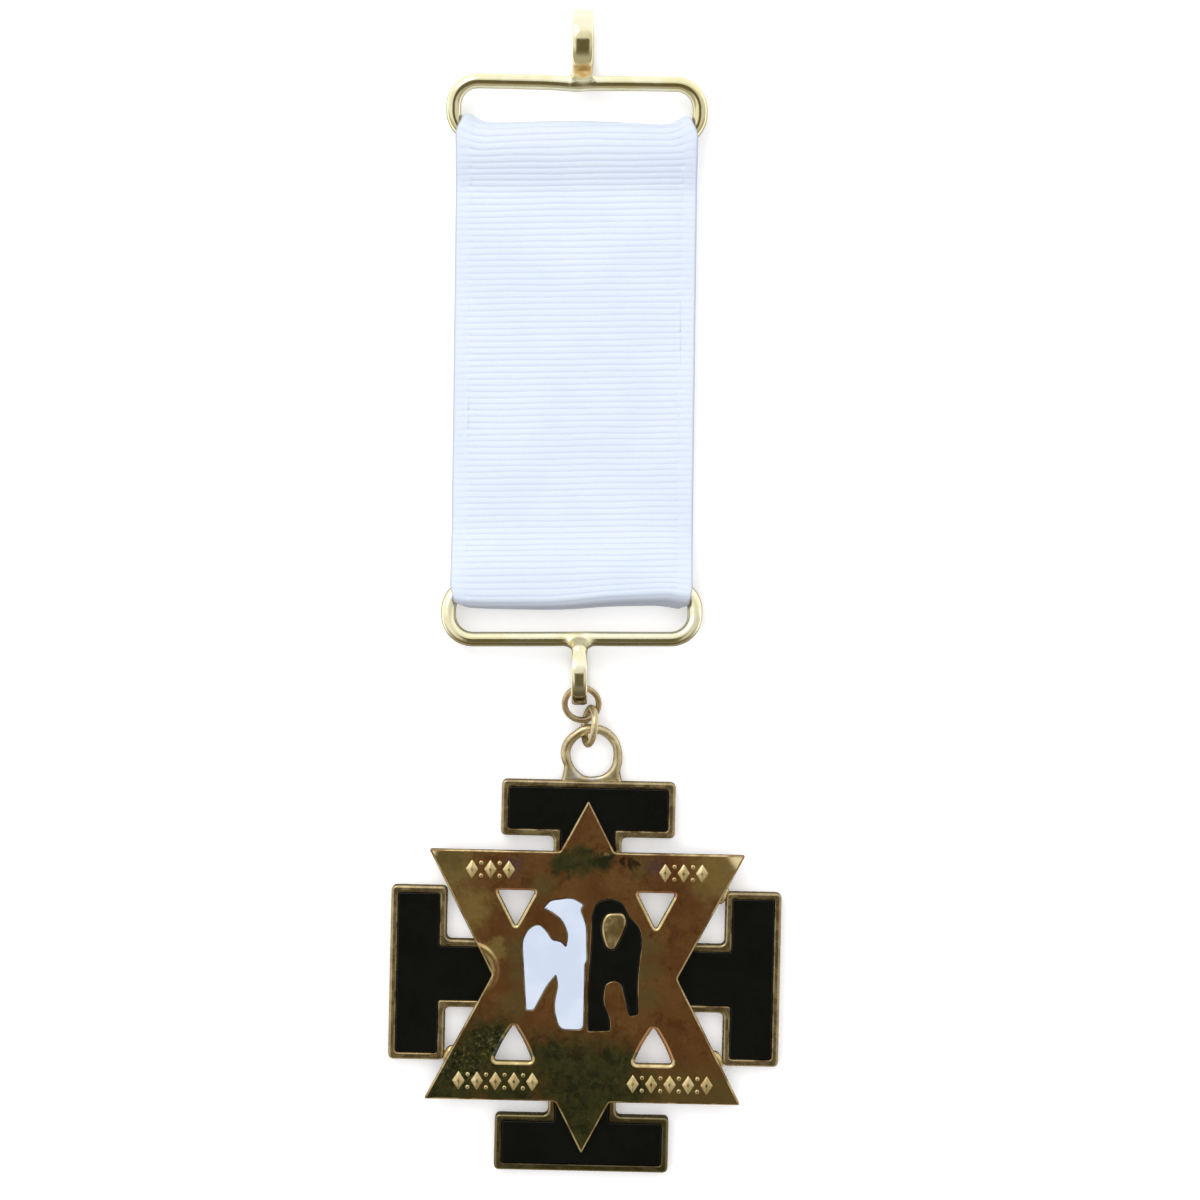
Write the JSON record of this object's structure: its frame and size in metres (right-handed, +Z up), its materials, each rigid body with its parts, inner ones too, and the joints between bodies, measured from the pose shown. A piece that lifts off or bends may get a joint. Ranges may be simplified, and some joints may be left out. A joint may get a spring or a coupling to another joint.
{
  "type": "masonic jewel",
  "caption": "Breast jewel: a ribbed white ribbon looped between gilt wire frames, with a bail above and an enamelled cross bearing a star plate hung below on jump rings.",
  "frame": {"origin": "middle of the outline, on the surface that the jewel's back lies on", "axes": "+Y along the jewel from the cross to the bail, +Z up from the surface, towards the front of the jewel"},
  "size_m": [0.062, 0.1828, 0.0107],
  "materials": {
    "gilt_wire": "polished gilt",
    "ribbon_cloth": "ribbed silk, low sheen",
    "ring_brass": "dulled brass",
    "cross_gilt": "polished gilt, darkened with age",
    "enamel_black": "glossy vitreous enamel",
    "enamel_white": "glossy vitreous enamel"
  },
  "bodies": {
    "root": {"upper_frame": "gilt_wire", "ribbon": "ribbon_cloth", "lower_frame": "gilt_wire", "jump_ring_upper": "ring_brass", "jump_ring_lower": "ring_brass", "cross": "cross_gilt", "enamel_top": "enamel_black", "enamel_right": "enamel_black", "enamel_bottom": "enamel_black", "enamel_left": "enamel_black", "eagle_white": "enamel_white", "eagle_black": "enamel_black"}
  },
  "joints": []
}
